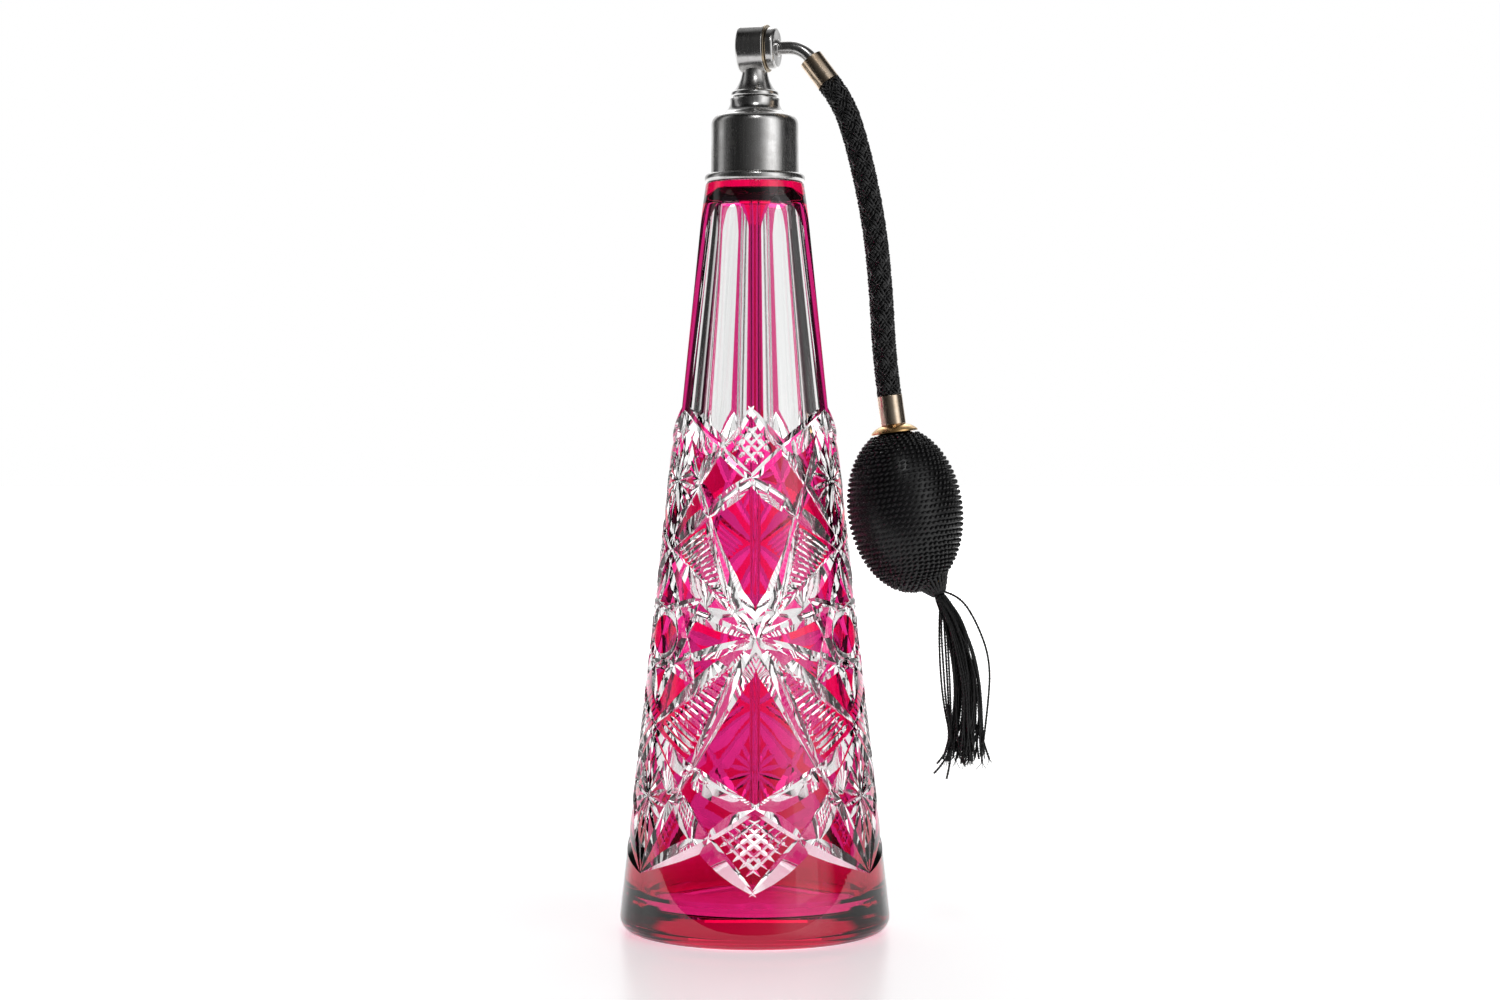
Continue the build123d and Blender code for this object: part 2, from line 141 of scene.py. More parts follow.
def lathe_mesh(profile, segments, origin=(0, 0, 0), axis=(0, 0, 1), closed=True):
    """Vertices and faces of a profile of (radius, height) points turned about an axis.
    A radius of zero becomes a single point on the axis."""
    axis = Vector(axis).normalized()
    side = axis.orthogonal().normalized()
    other = axis.cross(side)
    origin = Vector(origin)
    verts, rings = [], []
    for radius, height in profile:
        if radius < 1e-9:
            rings.append([len(verts)])
            verts.append(origin + axis * height)
            continue
        ring = []
        for i in range(segments):
            a = 2 * math.pi * i / segments
            ring.append(len(verts))
            verts.append(
                origin + axis * height + (side * math.cos(a) + other * math.sin(a)) * radius
            )
        rings.append(ring)
    faces = []
    pairs = list(zip(rings, rings[1:]))
    if closed:
        pairs.append((rings[-1], rings[0]))
    for low, high in pairs:
        for i in range(segments):
            j = (i + 1) % segments
            if len(low) == 1 and len(high) == 1:
                break
            if len(low) == 1:
                faces.append((low[0], high[j], high[i]))
            elif len(high) == 1:
                faces.append((low[i], low[j], high[0]))
            else:
                faces.append((low[i], low[j], high[j], high[i]))
    return verts, faces


def rounded(points, radii, steps=5):
    """A closed or open outline with its corners rounded: radii holds one radius per point."""
    out = []
    count = len(points)
    for i, (point, radius) in enumerate(zip(points, radii)):
        p = Vector(point)
        if radius == 0:
            out.append(tuple(p))
            continue
        before = (Vector(points[i - 1]) - p).normalized()
        after = (Vector(points[(i + 1) % count]) - p).normalized()
        half = before.angle(after) / 2
        reach = radius / math.tan(half)
        centre = p + (before + after).normalized() * (radius / math.sin(half))
        start = p + before * reach - centre
        end = p + after * reach - centre
        for k in range(steps + 1):
            mixed = start.lerp(end, k / steps)
            out.append(tuple(centre + mixed.normalized() * radius))
    return out


def frames_along(points):
    """Tangents, normals and binormals that don't twist along a list of points."""
    points = np.asarray(points, float)
    tangents = np.gradient(points, axis=0)
    tangents /= np.linalg.norm(tangents, axis=1)[:, None]
    normal = np.cross(tangents[0], (0.0, 1.0, 0.0))
    if np.linalg.norm(normal) < 1e-3:
        normal = np.cross(tangents[0], (1.0, 0.0, 0.0))
    normals = []
    for tangent in tangents:
        normal = normal - tangent * (normal @ tangent)
        normal = normal / np.linalg.norm(normal)
        normals.append(normal)
    normals = np.array(normals)
    return points, tangents, normals, np.cross(tangents, normals)


def tube_mesh(points, section, normals=None, capped=True):
    """Vertices and faces of a tube. section(i) gives the ring's (side, up) offsets at point i."""
    points, tangents, sides, ups = frames_along(points)
    if normals is not None:
        ups = np.asarray(normals)
        sides = np.cross(ups, tangents)
        sides /= np.linalg.norm(sides, axis=1)[:, None]
    verts, faces = [], []
    count = None
    for i in range(len(points)):
        ring = np.asarray(section(i))
        count = len(ring)
        verts.extend(points[i] + ring[:, :1] * sides[i] + ring[:, 1:] * ups[i])
    for i in range(len(points) - 1):
        for k in range(count):
            m = (k + 1) % count
            a = i * count
            faces.append((a + k, a + m, a + count + m, a + count + k))
    if capped:
        faces.append(tuple(range(count - 1, -1, -1)))
        last = (len(points) - 1) * count
        faces.append(tuple(range(last, last + count)))
    return verts, faces


def circle_section(radius, sides=10):
    angles = np.linspace(0, 2 * math.pi, sides, endpoint=False)
    return np.c_[np.cos(angles), np.sin(angles)] * radius


class Builder:
    """Collects many small meshes into one."""

    def __init__(self):
        self.verts, self.faces = [], []

    def add(self, verts, faces):
        start = len(self.verts)
        self.verts.extend(verts)
        self.faces.extend(tuple(start + i for i in face) for face in faces)

    def make(self, name, materials, **options):
        return mesh_object(name, self.verts, self.faces, materials, **options)


def nurbs_points(route, resolution=24):
    """Points along the smooth curve that a route's points control."""
    data = bpy.data.curves.new("route", "CURVE")
    data.dimensions = "3D"
    data.resolution_u = resolution
    spline = data.splines.new("NURBS")
    spline.points.add(len(route) - 1)
    for point, place in zip(spline.points, route):
        point.co = (*place, 1)
    spline.order_u = 3
    spline.use_endpoint_u = True
    obj = link(bpy.data.objects.new("route", data))
    bpy.context.view_layer.update()
    mesh = bpy.data.meshes.new_from_object(obj)
    points = np.array([v.co for v in mesh.vertices], float)
    bpy.data.objects.remove(obj)
    bpy.data.meshes.remove(mesh)
    return points


def evenly(points, step):
    """The same line with its points a constant step apart."""
    points = np.asarray(points, float)
    lengths = np.r_[0, np.cumsum(np.linalg.norm(np.diff(points, axis=0), axis=1))]
    count = max(2, int(round(lengths[-1] / step)) + 1)
    at = np.linspace(0, lengths[-1], count)
    return np.c_[[np.interp(at, lengths, points[:, k]) for k in range(3)]].T, lengths[-1]


# ------------------------------------------------------------------ material helpers

class Shader:
    """Short names for building one material's node tree."""

    def __init__(self, name):
        self.material = bpy.data.materials.new(name)
        self.material.use_nodes = True
        self.tree = self.material.node_tree
        self.surface = self.tree.nodes["Principled BSDF"]
        self.output = self.tree.nodes["Material Output"]
        self.coordinates = self.node("ShaderNodeTexCoord").outputs["Object"]

    def node(self, kind, **settings):
        made = self.tree.nodes.new(kind)
        for key, value in settings.items():
            setattr(made, key, value)
        return made

    def connect(self, output, socket):
        self.tree.links.new(output, socket)

    def set(self, **values):
        for key, value in values.items():
            self.surface.inputs[key.replace("_", " ")].default_value = value

    def scaled(self, scale):
        """Object coordinates stretched by three factors."""
        mapping = self.node("ShaderNodeMapping")
        mapping.inputs["Scale"].default_value = scale
        self.connect(self.coordinates, mapping.inputs["Vector"])
        return mapping.outputs["Vector"]

    def noise(self, scale, detail=3.0, roughness=0.5, vector=None):
        made = self.node("ShaderNodeTexNoise")
        made.inputs["Scale"].default_value = scale
        made.inputs["Detail"].default_value = detail
        made.inputs["Roughness"].default_value = roughness
        self.connect(vector or self.coordinates, made.inputs["Vector"])
        return made.outputs["Fac"]

    def ramp(self, value, stops):
        """A colour ramp over a value; stops are (place, colour) pairs."""
        made = self.node("ShaderNodeValToRGB")
        ramp = made.color_ramp
        while len(ramp.elements) < len(stops):
            ramp.elements.new(0.5)
        for element, (place, colour) in zip(ramp.elements, stops):
            element.position = place
            element.color = (*colour, 1)
        self.connect(value, made.inputs["Fac"])
        return made.outputs["Color"]

    def level(self, value, low, high, start=0.0, end=1.0):
        """A value mapped from start..end to low..high."""
        made = self.node("ShaderNodeMapRange")
        for key, number in (
            ("From Min", start), ("From Max", end), ("To Min", low), ("To Max", high)
        ):
            made.inputs[key].default_value = number
        self.connect(value, made.inputs["Value"])
        return made.outputs["Result"]

    def bump(self, height, distance, strength=1.0):
        made = self.node("ShaderNodeBump")
        made.inputs["Distance"].default_value = distance
        made.inputs["Strength"].default_value = strength
        self.connect(height, made.inputs["Height"])
        self.connect(made.outputs["Normal"], self.surface.inputs["Normal"])


def glass(name, colour, roughness, lamp_tint, variation=None):
    """Clear or tinted glass that lets lamplight through to what it shades. A variation colour
    comes in as painted stripes that stand in for the refraction of the cuts behind, and towards
    the foot."""
    shader = Shader(name)
    shader.set(Roughness=roughness, IOR=1.55, Base_Color=(*colour, 1))
    shader.surface.inputs["Transmission Weight"].default_value = 1.0
    if variation:
        # Painted refraction: colour stripes that copy the cuts seen through the glass
        painted_refraction_streaks = shader.level(shader.noise(60, 2, vector=shader.scaled((1, 1, 0.35))), 0, 0.5)
        split = shader.node("ShaderNodeSeparateXYZ")
        shader.connect(shader.coordinates, split.inputs[0])
        depth = shader.level(split.outputs["Z"], 0.75, 0.0, 0.018, 0.06)
        total = shader.node("ShaderNodeMath", operation="ADD")
        shader.connect(painted_refraction_streaks, total.inputs[0])
        shader.connect(depth, total.inputs[1])
        tint = shader.ramp(total.outputs[0], [(0.15, colour), (0.9, variation)])
        shader.connect(tint, shader.surface.inputs["Base Color"])
    path = shader.node("ShaderNodeLightPath")
    clear = shader.node("ShaderNodeBsdfTransparent")
    clear.inputs["Color"].default_value = (*lamp_tint, 1)
    mix = shader.node("ShaderNodeMixShader")
    shader.connect(path.outputs["Is Shadow Ray"], mix.inputs[0])
    shader.connect(shader.surface.outputs[0], mix.inputs[1])
    shader.connect(clear.outputs[0], mix.inputs[2])
    shader.connect(mix.outputs[0], shader.output.inputs["Surface"])
    return shader.material


def worn_metal(name, colour, dull, roughness=(0.16, 0.34), scratch=0.5, stretch=(30, 30, 1)):
    """Plated metal with tarnish in patches and fine wiped scratches."""
    shader = Shader(name)
    shader.set(Metallic=1.0)
    patches = shader.noise(160, 4, 0.6)
    shader.connect(
        shader.ramp(patches, [(0.32, dull), (0.62, colour)]),
        shader.surface.inputs["Base Color"],
    )
    wiped = shader.noise(90, 5, 0.7, vector=shader.scaled(stretch))
    mixed = shader.node("ShaderNodeMath", operation="MULTIPLY")
    shader.connect(wiped, mixed.inputs[0])
    shader.connect(patches, mixed.inputs[1])
    shader.connect(
        shader.level(mixed.outputs[0], roughness[1], roughness[0], 0.12, 0.42),
        shader.surface.inputs["Roughness"],
    )
    shader.bump(wiped, 0.00002, scratch)
    return shader.material


def black_thread(name, colour=(0.0045, 0.0045, 0.005), shine=0.34, scale=2600):
    """Twisted black silk: fibres in the thread, with a soft gloss and lighter worn fibres."""
    shader = Shader(name)
    fibres = shader.noise(scale, 3, 0.6)
    tones = [(0.3, colour), (0.8, tuple(c * 2.6 for c in colour))]
    shader.connect(shader.ramp(fibres, tones), shader.surface.inputs["Base Color"])
    shader.connect(
        shader.level(fibres, shine - 0.1, shine + 0.1), shader.surface.inputs["Roughness"]
    )
    shader.set(Specular_IOR_Level=0.5)
    shader.bump(fibres, 0.00003, 0.35)
    return shader.material


PINK = (0.60, 0.0005, 0.055)
PINK_DEEP = (0.46, 0.0002, 0.030)
cased = glass("cased_pink", PINK, 0.0, (0.9, 0.35, 0.6), PINK_DEEP)
clear_cut = glass("clear_cut", (0.985, 0.99, 0.988), 0.0, (0.95, 0.95, 0.95))
inner_glass = glass("clear_inner", (0.985, 0.99, 0.988), 0.0, (0.95, 0.95, 0.95))
silver = worn_metal("silver_plate", (0.66, 0.655, 0.65), (0.44, 0.43, 0.42), (0.15, 0.32), 0.3)
gilt = worn_metal("gilt_brass", (0.86, 0.60, 0.30), (0.62, 0.36, 0.14), (0.14, 0.3))
pale_gilt = worn_metal("pale_gilt", (0.80, 0.66, 0.52), (0.52, 0.39, 0.27), (0.14, 0.3))
dull_gilt = worn_metal("dull_gilt", (0.50, 0.40, 0.27), (0.24, 0.20, 0.15), (0.2, 0.4))
silk = black_thread("black_silk")
net_silk = black_thread("net_silk", (0.0035, 0.0035, 0.004), 0.32)


# ------------------------------------------------------------------ hose, the one cord

ELBOW_DROP = math.radians(53)
HOSE_OUT = Vector((math.cos(ELBOW_DROP), 0, -math.sin(ELBOW_DROP)))
HOSE_DIAMETER = 6.2 * MM
HOSE_RADIUS = HOSE_DIAMETER / 2
HOSE_START = Vector((20.425, 0, 227.867)) * MM
HOSE_END = BULB_CENTRE + BULB_UP * 30.7 * MM
HOSE_ROUTE = [
    HOSE_START,
    HOSE_START + HOSE_OUT * 5.5 * MM,
    Vector((26.8, 0, 216.2)) * MM,
    Vector((30.3, 0, 203.0)) * MM,
    Vector((33.2, 0, 188.0)) * MM,
    Vector((34.8, 0, 172.0)) * MM,
    HOSE_END + BULB_UP * 10.0 * MM,
    HOSE_END,
]


def make_hose():
    """Braided sleeve over a rubber core: twisted strands cross two over and two under."""
    line, length = evenly(nurbs_points(HOSE_ROUTE), 0.3 * MM)
    points, _, sides, ups = frames_along(line)
    along = np.linspace(0, length, len(points))
    carriers = 16
    lay = 24 * MM
    strand_width = 0.47 * MM
    strand_height = 0.36 * MM
    middle = HOSE_RADIUS - strand_height * 1.2
    wave = strand_height * 0.85
    plies = np.linspace(0, 2 * math.pi, 9, endpoint=False)
    lobed = 0.84 + 0.2 * np.cos(3 * plies)
    built = Builder()
    built.add(*tube_mesh(points[::3], lambda i: circle_section(middle - 0.45 * MM, 20)))
    rng = random.Random(3)
    for hand in (1, -1):
        for carrier in range(carriers):
            start = 2 * math.pi * carrier / carriers
            jitter = rng.uniform(-0.05, 0.05)
            angle = hand * 2 * math.pi * along / lay + start + jitter
            crossing = 2 * carriers * along / lay + hand * carrier
            lift = np.clip(1.5 * np.sin(math.pi * crossing / 2 + hand * 0.7), -1, 1)
            radius = middle + hand * lift * wave
            outward = np.cos(angle)[:, None] * sides + np.sin(angle)[:, None] * ups
            centre = points + outward * radius[:, None]
            width = strand_width * rng.uniform(0.93, 1.07)
            phase = rng.uniform(0, 2 * math.pi)

            def section(i, width=width, phase=phase, hand=hand):
                turn = plies + phase + hand * 2 * math.pi * along[i] / (4.2 * MM)
                return np.c_[np.cos(turn) * width, np.sin(turn) * strand_height] * lobed[:, None]

            built.add(*tube_mesh(centre, section, normals=outward))
    hose = built.make("hose", [silk])
    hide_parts("rubber_tube", "braided_sleeve")
    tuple(HOSE_ROUTE[1])
    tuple(HOSE_ROUTE[-2])
    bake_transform(hose)
    [tuple(p) for p in line]


make_hose()


# ------------------------------------------------------------------ cut crystal bottle

def cone_radius(z):
    return BASE_RADIUS - TAPER * z


CONE_LEAN = math.atan(TAPER)


def on_cone(theta, z):
    """Point on the cone and its outward normal; theta in degrees to the motif's right, z in mm."""
    a = math.radians(MOTIF_ANGLE + theta)
    radius = cone_radius(z * MM)
    point = Vector((radius * math.cos(a), radius * math.sin(a), z * MM))
    lean = math.cos(CONE_LEAN)
    normal = Vector((math.cos(a) * lean, math.sin(a) * lean, math.sin(CONE_LEAN)))
    return point, normal


def drifted(theta, z, motif):
    """The cutter's hand: each motif leans a little off its axis, but meets its neighbours."""
    lean = np.interp(z, (15, 37, 60, 81, 100, 112, 140), (-1.0, 0.1, 0.2, 0.8, -0.6, -2.0, -2.7))
    hand = (1.0, -0.7, 0.5)[motif]
    return theta + hand * lean * (1 - (theta / 62) ** 4)


def groove(route, motif=0, step=0.8):
    """A V-shaped wheel cut along a route of (theta, z, left width, right width), in degrees
    and mm. Left and right are as seen from outside, travelling along the route. The wheel's
    edge is dressed to 120 degrees, and unequal widths tilt it. Returns vertices and faces."""
    route = np.asarray(route, float)
    across = math.radians(1) * cone_radius(route[:, 1].mean() * MM) / MM
    runs = np.linalg.norm(np.diff(route[:, :2] * (across, 1), axis=0), axis=1)
    lengths = np.r_[0, np.cumsum(runs)]
    count = max(6, int(lengths[-1] / step))
    at = np.linspace(0, lengths[-1], count + 1)
    theta, height, left, right = (np.interp(at, lengths, route[:, k]) for k in range(4))
    theta = drifted(theta, height, motif) + 120 * motif
    places = [on_cone(t, z) for t, z in zip(theta, height)]
    points = [p for p, _ in places]
    above = 0.3 * MM
    verts, faces = [], []
    for i, (point, normal) in enumerate(places):
        forward = points[min(i + 1, count)] - points[max(i - 1, 0)]
        side = normal.cross(forward).normalized()
        level = Vector((side.x, side.y, 0)).length
        bulge = level**2 / (2 * math.hypot(point.x, point.y))
        wl, wr = left[i] * MM, right[i] * MM
        both = wl + wr
        sunk = (math.sqrt(both**2 + 12 * wl * wr) - both) / (2 * math.sqrt(3))
        sunk += bulge * max(wl, wr) ** 2
        verts.append(point - normal * sunk)
        for width, way in ((wl, 1), (wr, -1)):
            slope = (sunk - bulge * width**2) / width
            verts.append(point + normal * above + side * (way * (sunk + above) / slope))
    for i in range(count):
        a, b = 3 * i, 3 * i + 3
        faces.append((a, a + 1, b + 1, b))
        faces.append((a + 1, a + 2, b + 2, b + 1))
        faces.append((a + 2, a, b, b + 2))
    faces.append((0, 2, 1))
    faces.append((3 * count, 3 * count + 1, 3 * count + 2))
    return verts, faces


def mirrored(route):
    """The route reflected in the motif's axis, which swaps its left and right widths."""
    return [(-theta, z, right, left) for theta, z, left, right in route]


def on_three_motifs(*routes):
    """The same cuts on all three motifs, as one batch."""
    built = Builder()
    for route in routes:
        for motif in range(3):
            built.add(*groove(route, motif))
    return built


def between(start, end, share):
    return tuple(a + (b - a) * share for a, b in zip(start, end))


# Long mitre cuts of one motif, each mirrored too: (theta, z, left width, right width).
# A wide facet beside a narrow one is where the wheel was held tilted.
MITRES = [
    # From the upper corners through the star's centre to the lower corners
    [
        (-60, 140.3, 0.1, 0.1), (-52, 134.3, 0.8, 2.6), (-44, 127.2, 0.9, 2.3),
        (-36.8, 120.7, 0.9, 1.3), (-28.4, 112.3, 0.8, 1.0), (-20, 103, 1.0, 1.1),
        (-13, 95.5, 1.8, 2.1), (-10, 92, 1.8, 2.3), (-8, 90, 2.4, 2.4), (-6.5, 88, 2.9, 2.6),
        (-3, 84.5, 2.4, 2.0), (0, 80.7, 1.7, 1.7), (3, 77, 2.0, 2.6), (7, 71.8, 2.0, 3.1),
        (9, 69.6, 1.9, 2.6), (12, 66, 1.8, 2.0), (14.5, 63.3, 1.7, 1.6), (22, 55.4, 1.3, 1.1),
        (31, 46.5, 0.8, 0.8), (38.3, 40.3, 1.2, 0.8), (46, 32.2, 2.4, 0.9),
        (54, 24, 1.6, 0.7), (60, 17.8, 0.1, 0.1),
    ],
    # Under the flat panels, over the upper window, and on over the ladder
    [
        (-60, 140.3, 0.1, 0.2), (-52, 138, 0.7, 1.6), (-42, 135.3, 0.9, 3.0),
        (-32, 132.7, 1.0, 4.0), (-23.5, 130.7, 1.0, 3.7), (-22, 130.4, 0.9, 1.3),
        (-10, 126.2, 1.0, 1.6), (0, 122.3, 0.9, 1.2), (2, 121.6, 1.3, 1.6),
        (10, 118.7, 2.1, 2.3), (20, 115.1, 2.4, 1.7), (27, 112.8, 1.2, 0.9),
        (28.4, 112.3, 0.9, 0.8), (30, 111.8, 3.0, 1.2), (40, 108.9, 3.0, 1.2),
        (50, 106, 1.4, 0.7), (60, 103, 0.3, 0.3), (62, 102.4, 0.1, 0.1),
    ],
    # From the top point down to the side
    [
        (-2, 141.2, 0.1, 0.1), (3, 139, 0.8, 1.2), (10, 135.6, 1.1, 1.8),
        (18, 131.8, 0.9, 1.4), (21.3, 130.2, 0.9, 1.0), (22.8, 129.3, 2.5, 1.1),
        (30, 125, 2.5, 1.2), (35.8, 121.4, 1.1, 0.9), (45, 116, 1.0, 1.1),
        (54, 110.6, 0.9, 1.0), (60, 107, 0.5, 0.5), (64, 104.7, 0.1, 0.1),
    ],
    # The star's eight long rays besides the first cut
    [
        (-6, 78.2, 0.1, 0.1), (0, 80.9, 0.8, 0.8), (7, 83.8, 1.1, 1.8), (16, 87.8, 1.2, 3.4),
        (26, 91.8, 1.3, 3.7), (36, 95.7, 1.3, 3.6), (46, 99.3, 1.2, 2.6),
        (54, 101.8, 0.9, 1.2), (60, 103.4, 0.3, 0.3), (62, 104, 0.1, 0.1),
    ],
    [
        (-6, 82.7, 0.1, 0.1), (0, 80.3, 0.8, 0.8), (5, 78, 1.3, 1.0), (12, 75, 2.2, 1.2),
        (20, 71.8, 2.6, 1.3), (30, 67.8, 2.6, 1.2), (36, 65.4, 2.4, 1.2),
        (46, 61.8, 1.6, 1.0), (54, 59.2, 0.9, 0.7), (60, 57.2, 0.3, 0.3), (62, 56.5, 0.1, 0.1),
    ],
    [
        (-5, 80.2, 0.1, 0.1), (3, 81.4, 0.8, 0.8), (10, 82.4, 1.4, 1.4), (21, 84, 2.2, 1.6),
        (34, 86.1, 1.5, 1.3), (44, 87.8, 0.9, 0.9), (52, 88.6, 0.6, 0.6), (58, 89, 0.1, 0.1),
    ],
    [
        (-5, 81, 0.1, 0.1), (3, 80, 0.8, 0.8), (10, 79, 1.1, 1.2), (21, 77.3, 1.6, 2.0),
        (36, 75.3, 1.1, 1.2), (48, 73.6, 0.8, 0.8), (60, 72.2, 0.5, 0.5), (66, 71.5, 0.1, 0.1),
    ],
    # Crossed cuts between the star and the ovals
    [
        (61.5, 101, 0.1, 0.1), (56, 96, 1.7, 1.0), (52, 92.6, 1.5, 1.0),
        (48.5, 89, 0.8, 0.8), (44.5, 84.6, 2.6, 0.8), (41, 80, 0.9, 0.9),
        (37.5, 75.5, 2.3, 0.8), (35.5, 72.8, 2.0, 0.7), (33.5, 69.5, 0.1, 0.1),
    ],
    [
        (32, 91, 0.1, 0.1), (36, 86.4, 0.8, 1.0), (41, 80.3, 0.9, 0.9),
        (44.5, 77.3, 2.2, 0.8), (48.5, 74, 0.9, 0.9), (53, 69.6, 1.9, 1.0),
        (58, 64.6, 1.2, 0.8), (61.5, 61, 0.1, 0.1),
    ],
    [
        (25, 91.3, 0.1, 0.1), (33, 90.3, 0.9, 1.0), (42, 89.3, 1.0, 1.1),
        (53.5, 88, 1.1, 1.2), (60, 87.2, 0.8, 0.8), (68, 86, 0.1, 0.1),
    ],
    [
        (34.5, 68.5, 0.1, 0.1), (40, 70.5, 0.9, 1.2), (48, 72.6, 1.1, 1.4),
        (56, 73.7, 1.2, 1.3), (60, 74.2, 0.9, 0.9), (68, 75.3, 0.1, 0.1),
    ],
    # Along the pattern's lower edge, up under the lower window, and on under the ladder
    [
        (-60, 17.8, 0.1, 0.1), (-52, 20, 1.3, 0.9), (-44, 22.3, 2.0, 1.8),
        (-36, 24.6, 2.4, 2.5), (-27, 27.2, 2.2, 2.9), (-22.5, 28.5, 1.0, 2.6),
        (-21.3, 28.8, 0.9, 0.9), (-18, 30, 1.6, 1.2), (-10, 33, 2.3, 1.3),
        (-3, 35.6, 1.7, 1.1), (0, 36.6, 0.9, 1.0), (2.5, 37.4, 1.0, 2.4),
        (8, 39.3, 1.0, 4.0), (18, 42.6, 1.1, 4.4), (28, 45.6, 1.1, 4.4),
        (29.3, 46, 0.9, 1.0), (31, 46.5, 0.8, 0.9), (32.5, 47, 0.8, 3.5),
        (40, 49.6, 0.8, 4.0), (48, 52.6, 0.8, 2.4), (60, 56.6, 0.3, 0.3),
        (62, 57.2, 0.1, 0.1),
    ],
    # From the bottom point up to the side
    [
        (-1.5, 14.3, 0.1, 0.1), (2, 16.6, 0.6, 1.3), (6, 19.2, 1.0, 2.5),
        (11, 22.4, 1.2, 3.5), (17, 26.1, 1.2, 4.1), (20.3, 28.2, 1.1, 4.2),
        (21, 28.7, 0.9, 1.2), (22.3, 29.6, 1.0, 4.5), (29, 34, 1.1, 4.8),
        (36, 38.7, 1.0, 4.3), (37.5, 39.7, 0.9, 1.2), (38.5, 40.4, 0.9, 1.0),
        (40, 41.4, 1.0, 3.5), (47, 46, 1.0, 3.2), (54, 50.3, 0.9, 1.8), (60, 54, 0.5, 0.5),
        (63, 56, 0.1, 0.1),
    ],
    # Borders along the ladders' inner ends
    [(12, 87.5, 0.1, 0.1), (16, 93, 1.1, 0.9), (27, 107.5, 1.2, 0.9), (29.5, 110.5, 0.2, 0.2)],
    [(9, 75.5, 0.1, 0.1), (13, 70.7, 0.9, 1.2), (28, 52.3, 0.9, 1.2), (31.5, 48, 0.2, 0.2)],
]


def ladders():
    """Fine parallel cuts between the star's rays, as (first, last) at each end."""
    rungs = 14
    for outer_first, outer_last, inner_first, inner_last in (
        ((50.5, 103), (20, 90.8), (29.5, 109), (14, 89.5)),
        ((53, 57.3), (16.5, 72.5), (32, 50), (12, 72)),
    ):
        cuts = []
        for rung in range(rungs):
            share = rung / (rungs - 1)
            outer = between(outer_first, outer_last, share)
            inner = between(inner_first, inner_last, share)
            near = between(outer, inner, 0.12)
            far = between(outer, inner, 0.88)
            cuts.append([
                (*outer, 0.1, 0.1), (*near, 0.68, 0.68), (*far, 0.68, 0.68), (*inner, 0.1, 0.1)
            ])
        yield cuts


def crosshatches():
    """Diamonds of crossing cuts: left corner, top, right corner, bottom, lines each way, width."""
    for left, top, right, bottom, lines, width in (
        ((-17, 130.8), (0, 137.6), (17, 130.8), (0, 124.2), 3, 0.75),
        ((-18, 28.8), (0, 35), (18, 28.8), (0, 17.6), 5, 0.62),
    ):
        cuts = []
        for i in range(1, lines + 1):
            share = i / (lines + 1)
            start = between(left, bottom, share)
            end = between(top, right, share)
            cuts.append([
                (*start, 0.1, 0.1),
                (*between(start, end, 0.15), width, width),
                (*between(start, end, 0.85), width, width),
                (*end, 0.1, 0.1),
            ])
        yield cuts


def hobstar(centre_z, half_width, half_height, ray):
    """One cut right through a sixteen-pointed star: fine at the centre, full half way out."""
    angle = math.radians(22.5 * ray + 11.25)
    spread = half_width / (math.radians(1) * cone_radius(centre_z * MM) / MM)
    route = []
    for reach, width in (
        (-1, 0.06), (-0.78, 0.5), (-0.5, 0.78), (-0.22, 0.42), (0, 0.22),
        (0.22, 0.42), (0.5, 0.78), (0.78, 0.5), (1, 0.06),
    ):
        route.append((
            60 + spread * reach * math.sin(angle),
            centre_z + half_height * reach * math.cos(angle),
            width,
            width,
        ))
    return route


def cut_batches():
    """Every batch of cutters. The cutters in one batch don't meet each other."""
    for route in MITRES:
        yield on_three_motifs(route)
        yield on_three_motifs(mirrored(route))
    for cuts in list(ladders()) + list(crosshatches()):
        for every_other in (cuts[::2], cuts[1::2]):
            yield on_three_motifs(*every_other)
            yield on_three_motifs(*[mirrored(cut) for cut in every_other])
    # Arcs over and under the uncut ovals
    for side in (1, -1):
        arc = []
        for degrees in range(0, 181, 12):
            swing = math.radians(180 - degrees)
            width = 0.15 + 1.2 * math.sin(swing)
            arc.append((
                60 + 13.5 * math.cos(swing),
                80.8 + side * 6.2 * math.sin(swing),
                width if side > 0 else 0.8 * width,
                0.8 * width if side > 0 else width,
            ))
        yield on_three_motifs(arc)
    for centre_z, half_width, half_height in ((121.5, 8.6, 12.0), (38.3, 9.8, 12.0)):
        for ray in range(8):
            yield on_three_motifs(hobstar(centre_z, half_width, half_height, ray))
    # Upright leaves above and below the hobstars
    for low_z, high_z in ((19.5, 29.5), (131.5, 139), (104.5, 110), (49, 55.5)):
        middle = (low_z + high_z) / 2
        yield on_three_motifs(
            [(60, low_z, 0.1, 0.1), (60, middle, 1.1, 1.1), (60, high_z, 0.1, 0.1)]
        )


